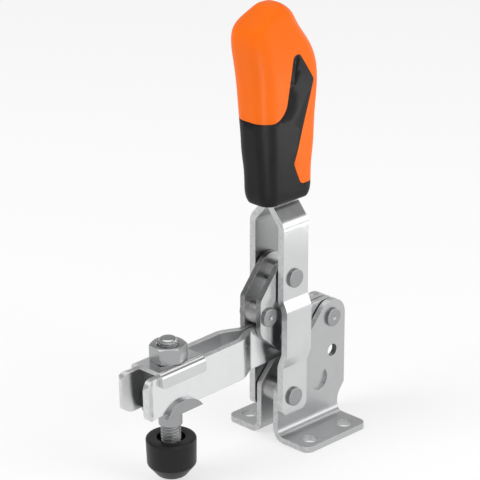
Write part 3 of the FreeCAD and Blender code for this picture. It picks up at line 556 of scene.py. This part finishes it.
def dress_clamp():
    """Every piece of the clamp in its finish, the remade ones among them."""
    # Painted shade: the handle plates' inward faces keep only 0.48 of their tone.
    dress(["handle_left", "handle_right"],
          plated_steel("plated_handle", SHEET, rough=0.22, lie="strip",
                       edge_tone=(0.62, 0.625, 0.63), inside=0.48))
    dress(["arm_left", "arm_right"],
          plated_steel("plated_arm", (0.92, 0.925, 0.93), rough=0.22, lie="flat",
                       edge_tone=(0.76, 0.765, 0.77)))
    dress(["link_left", "link_right"],
          plated_steel("plated_link", SHEET, rough=0.24, lie="flat",
                       edge_tone=(0.28, 0.28, 0.283), uneven=0.28))
    dress(["base_left", "base_right"],
          plated_steel("plated_base", DULL_SHEET, rough=0.33, lie="angle",
                       edge_tone=DULL_SHEET, uneven=0.16))
    coat(make_saddle(),
         plated_steel("plated_saddle", SHEET, rough=0.20, lie="strip",
                      edge_tone=(0.66, 0.66, 0.665)))
    dress(["lower_flanged_washer"], plated_steel("plated_washer", HEADED, rough=0.25))
    dress(["handle_pivot_rivet", "arm_pivot_rivet", "link_pivot_rivet", "stop_rivet",
           "handle_link_rivet_left", "handle_link_rivet_right"],
          plated_steel("plated_rivet", HEADED, rough=0.26, lie="flat",
                       edge_tone=shade(HEADED, 0.6)))
    dress(["base_spacer_bush", "arm_pivot_bush", "link_pivot_bush", "stop_sleeve",
           "link_head_bush"],
          plated_steel("plated_bush", (0.44, 0.44, 0.445), rough=0.36))
    turned_steel = plated_steel("plated_turned", TURNED, rough=0.24)
    coat(make_screw(), turned_steel)
    coat(make_nut(), turned_steel)
    dress(["grip_shell"],
          moulded_plastic("bright_grip", (0.86, 0.142, 0.002), rough=0.42, pores=2500.0,
                          depth=0.05, shine=0.16))
    coat(make_core(),
         moulded_plastic("dark_grip", (0.007, 0.007, 0.0075), rough=0.46, pores=2200.0,
                         depth=0.06, shine=0.20))
    coat(make_cap(),
         moulded_plastic("cap_rubber", (0.006, 0.006, 0.0063), rough=0.36, pores=1500.0,
                         depth=0.08, shine=0.33))


# Studio


def make_floor():
    """A pale floor that shows white and keeps the clamp's soft shadow."""
    side, drop = 6.0, 0.1 * MM
    white_to_camera, white_in_metal, metal_loss = 0.6, 0.85, 0.17
    bpy.ops.mesh.primitive_plane_add(size=side, location=(0.0, 0.0, -drop))
    floor = bpy.context.object
    floor.name = "studio_floor"
    nodes = Finish("studio_floor_finish")
    nodes.give({"Base Color": (0.93, 0.93, 0.93, 1.0), "Roughness": 0.9,
                "Specular IOR Level": 0.0})
    seen = nodes.add("ShaderNodeLightPath").outputs
    seen_in_metal = seen["Is Glossy Ray"]
    white_share = nodes.plus(nodes.times(seen["Is Camera Ray"], white_to_camera),
                             nodes.times(seen_in_metal, white_in_metal))
    white_strength = nodes.opposite(nodes.times(seen_in_metal, metal_loss))
    white = nodes.add("ShaderNodeEmission", {"Strength": white_strength})
    surface = nodes.mix(white_share, nodes.shader.outputs["BSDF"], white.outputs["Emission"])
    nodes.feed(nodes.tree.nodes["Material Output"].inputs["Surface"], surface)
    floor.data.materials.append(nodes.material)


def make_lamp(name, place, aim, across, tall, power, strip=False):
    """A soft lamp that gloss doesn't show, or a narrow strip that only gloss shows."""
    data = bpy.data.lights.new(name, "AREA")
    data.shape = "RECTANGLE"
    data.size = across
    data.size_y = tall
    data.energy = power
    lamp = bpy.data.objects.new(name, data)
    lamp.location = place
    lamp.rotation_mode = "QUATERNION"
    lamp.rotation_quaternion = (Vector(aim) - Vector(place)).to_track_quat("-Z", "Y")
    bpy.context.scene.collection.objects.link(lamp)
    if strip:
        data.spread = STRIP_SPREAD
        lamp.visible_camera = False
        lamp.visible_diffuse = False
    else:
        lamp.visible_glossy = False


def make_world():
    """White behind the clamp, an even fill on it, and a studio of pale walls in its metal."""
    world = bpy.data.worlds.new("studio_world")
    world.use_nodes = True
    nodes = Tree(world.node_tree)

    def background(strength, color=WHITE):
        node = nodes.add("ShaderNodeBackground", {"Color": color, "Strength": strength})
        return node.outputs["Background"]

    direction = nodes.add("ShaderNodeTexCoord").outputs["Generated"]
    height = nodes.dot(direction, UPWARD)
    bright_share = nodes.greys(nodes.dot(direction, BRIGHT_SIDE), BRIGHT_CHANGE)
    walls = nodes.blend(bright_share, nodes.greys(height, DIM_WALLS),
                        nodes.greys(height, BRIGHT_WALL))
    seen = nodes.add("ShaderNodeLightPath").outputs
    around = nodes.mix(seen["Is Glossy Ray"], background(FILL_STRENGTH),
                       background(WALL_STRENGTH, walls))
    shown = nodes.mix(seen["Is Camera Ray"], around, background(1.0))
    nodes.feed(nodes.tree.nodes["World Output"].inputs["Surface"], shown)
    bpy.context.scene.world = world


def make_camera():
    """The camera at the photograph's viewing angle."""
    data = bpy.data.cameras.new("photo_camera")
    data.lens = LENS_MM
    data.sensor_width = SENSOR_MM
    camera = bpy.data.objects.new("photo_camera", data)
    camera.location = CAMERA_PLACE
    camera.rotation_mode = "QUATERNION"
    camera.rotation_quaternion = (-CAMERA_BACK).to_track_quat("-Z", "Y")
    bpy.context.scene.collection.objects.link(camera)
    bpy.context.scene.camera = camera


dress_clamp()
make_floor()
make_world()
make_lamp("key_lamp", (0.9, -0.35, 0.9), CLAMP_MIDDLE, across=0.7, tall=0.7, power=7.5)
make_lamp("fill_lamp", (-0.3, 1.1, 0.6), CLAMP_MIDDLE, across=0.8, tall=0.8, power=7.5)
make_lamp("near_strip", (0.172, 0.143, 0.03), GRIP_MIDDLE, across=0.14, tall=0.04, power=0.0085,
          strip=True)
make_lamp("side_strip", (-0.17, 0.18, 0.03), GRIP_MIDDLE, across=0.14, tall=0.03, power=0.0045,
          strip=True)
make_camera()
bpy.context.scene.view_settings.view_transform = "Standard"
